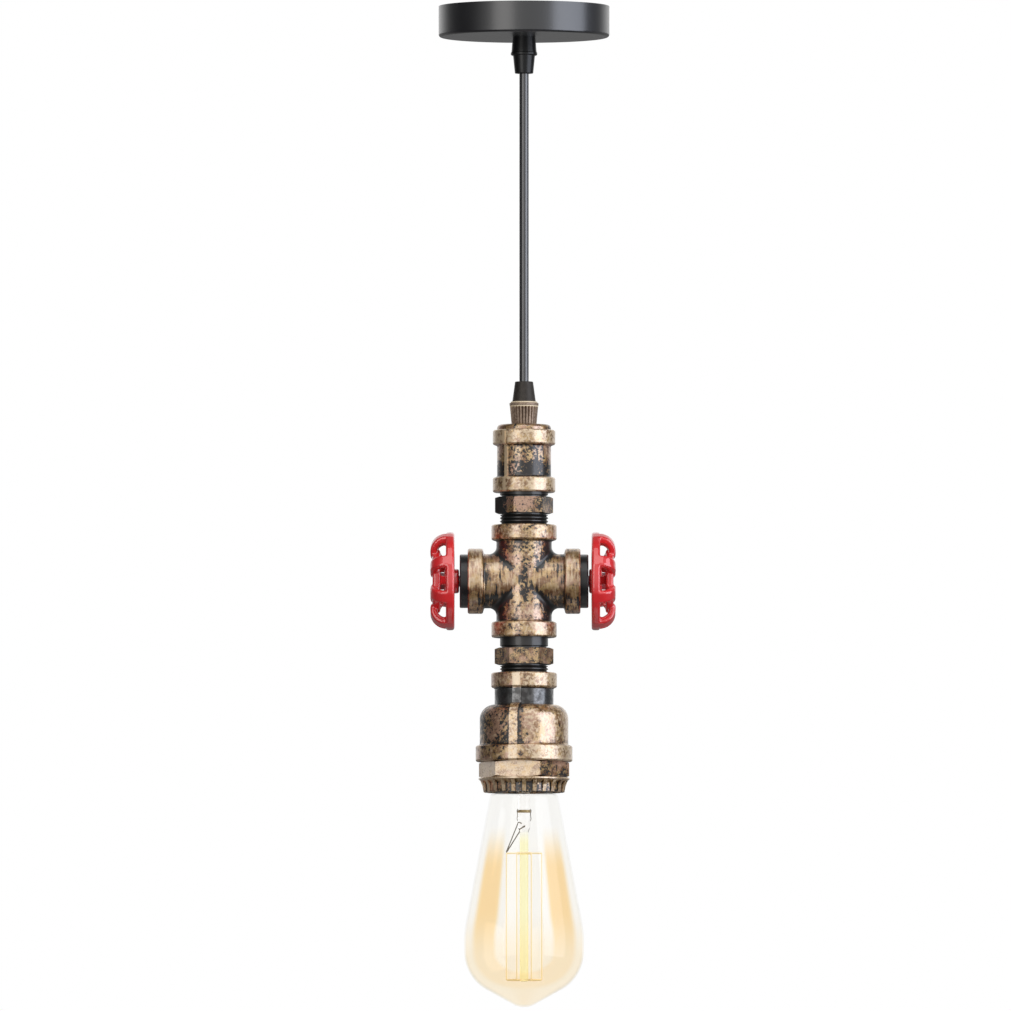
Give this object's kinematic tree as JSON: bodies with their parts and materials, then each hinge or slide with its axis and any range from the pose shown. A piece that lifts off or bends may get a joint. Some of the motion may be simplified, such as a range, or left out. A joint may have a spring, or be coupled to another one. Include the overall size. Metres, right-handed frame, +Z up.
{
  "type": "pendant lamp",
  "caption": "Single pendant lamp of bronze pipe fittings on a straight cord: a four way cross with red handwheels at both sides above a bell, and a tapered filament bulb.",
  "frame": {"origin": "on the ceiling plane, at the centre of the ceiling cup's open rim and of the strap behind it", "axes": "+Z up into the ceiling, +X towards the right hand handwheel, -Y towards the viewer"},
  "size_m": [0.102, 0.094, 0.551],
  "materials": {
    "cup_black": "satin black",
    "grip_black": "semi-gloss black",
    "zinc": "zinc plated",
    "block_white": "matt",
    "brass": "plain",
    "cord_black": "smooth black jacket",
    "rubber_grey": "matt",
    "core_brown": "satin",
    "core_blue": "satin",
    "core_green": "satin",
    "bronze_dark": "dark bronze lacquer",
    "bronze": "antique bronze, dark wash worn through to gold",
    "plug_black": "satin black",
    "wheel_red": "gloss red enamel",
    "ceramic_white": "glazed",
    "solder": "dull solder",
    "cap_brass": "plain",
    "insulator_black": "black glass",
    "amber_glass": "amber tint, clear at the neck",
    "clear_glass": "clear",
    "filament": "warm wire"
  },
  "bodies": {
    "ceiling": {"ceiling_cup": "cup_black", "crossbar": "zinc", "cup_nipple": "zinc", "nipple_lock_nuts": "zinc", "terminal_block": "block_white", "terminal_sleeves": "brass", "terminal_screws": "zinc", "grip_body_upper": "grip_black", "grip_nut_upper": "grip_black", "grip_sleeve_upper": "rubber_grey", "cord_tail": "cord_black", "live_core_top": "core_brown", "neutral_core_top": "core_blue", "earth_core_top": "core_green", "earth_tag": "brass", "earth_screw": "brass"},
    "cord_knee": {"cord_bend": "cord_black"},
    "cord": {"cord": "cord_black"},
    "lamp": {"grip_nut_lower": "bronze_dark", "grip_body_lower": "bronze_dark", "grip_sleeve_lower": "rubber_grey", "top_plug": "bronze", "lamp_nipple": "zinc", "nipple_nut": "zinc", "coupling": "bronze", "hex_nipple_upper": "bronze", "cross": "bronze", "hex_nipple_lower": "bronze", "bell_reducer": "bronze", "earth_ring": "brass", "hex_bushing": "bronze", "lip_ring": "bronze", "holder_body": "ceramic_white", "screw_shell": "brass", "centre_contact": "brass", "holder_posts": "brass", "live_core": "core_brown", "neutral_core": "core_blue", "earth_core": "core_green", "left_plug": "plug_black", "right_plug": "plug_black"},
    "left_wheel": {"left_stem": "zinc", "left_handwheel": "wheel_red", "left_wheel_nut": "zinc"},
    "right_wheel": {"right_stem": "zinc", "right_handwheel": "wheel_red", "right_wheel_nut": "zinc"},
    "bulb_travel": {"contact_button": "solder"},
    "bulb": {"bulb_cap": "cap_brass", "cap_insulator": "insulator_black", "bulb_glass": "amber_glass", "bulb_stem": "clear_glass", "filament_cage": "filament", "cage_supports": "filament", "lead_in_wires": "filament"}
  },
  "joints": [
    {"name": "swing_side", "type": "hinge", "parent": "ceiling", "child": "cord_knee", "pos_m": [0, 0, -0.036], "axis": [0, 1, 0], "range_deg": [-25, 25]},
    {"name": "swing_front", "type": "hinge", "parent": "cord_knee", "child": "cord", "pos_m": [0, 0, -0.036], "axis": [1, 0, 0], "range_deg": [-25, 25]},
    {"name": "pendant_twist", "type": "hinge", "parent": "cord", "child": "lamp", "pos_m": [0, 0, -0.2246], "axis": [0, 0, 1], "range_deg": [-90, 90], "stiffness_Nm_per_rad": 0.004},
    {"name": "left_wheel_turn", "type": "hinge", "parent": "lamp", "child": "left_wheel", "pos_m": [-0.0354, 0, -0.3168], "axis": [-1, 0, 0], "continuous": true},
    {"name": "right_wheel_turn", "type": "hinge", "parent": "lamp", "child": "right_wheel", "pos_m": [0.0354, 0, -0.3168], "axis": [1, 0, 0], "continuous": true},
    {"name": "bulb_drop", "type": "slide", "parent": "lamp", "child": "bulb_travel", "axis": [0, 0, -1], "range_m": [0, 0.01452]},
    {"name": "bulb_turn", "type": "hinge", "parent": "bulb_travel", "child": "bulb", "pos_m": [0, 0, -0.427], "axis": [0, 0, -1], "range_deg": [0, 1440]}
  ],
  "couplings": [
    {"joint": "bulb_drop", "follows": "bulb_turn", "m_per_rad": 0.00057757}
  ]
}
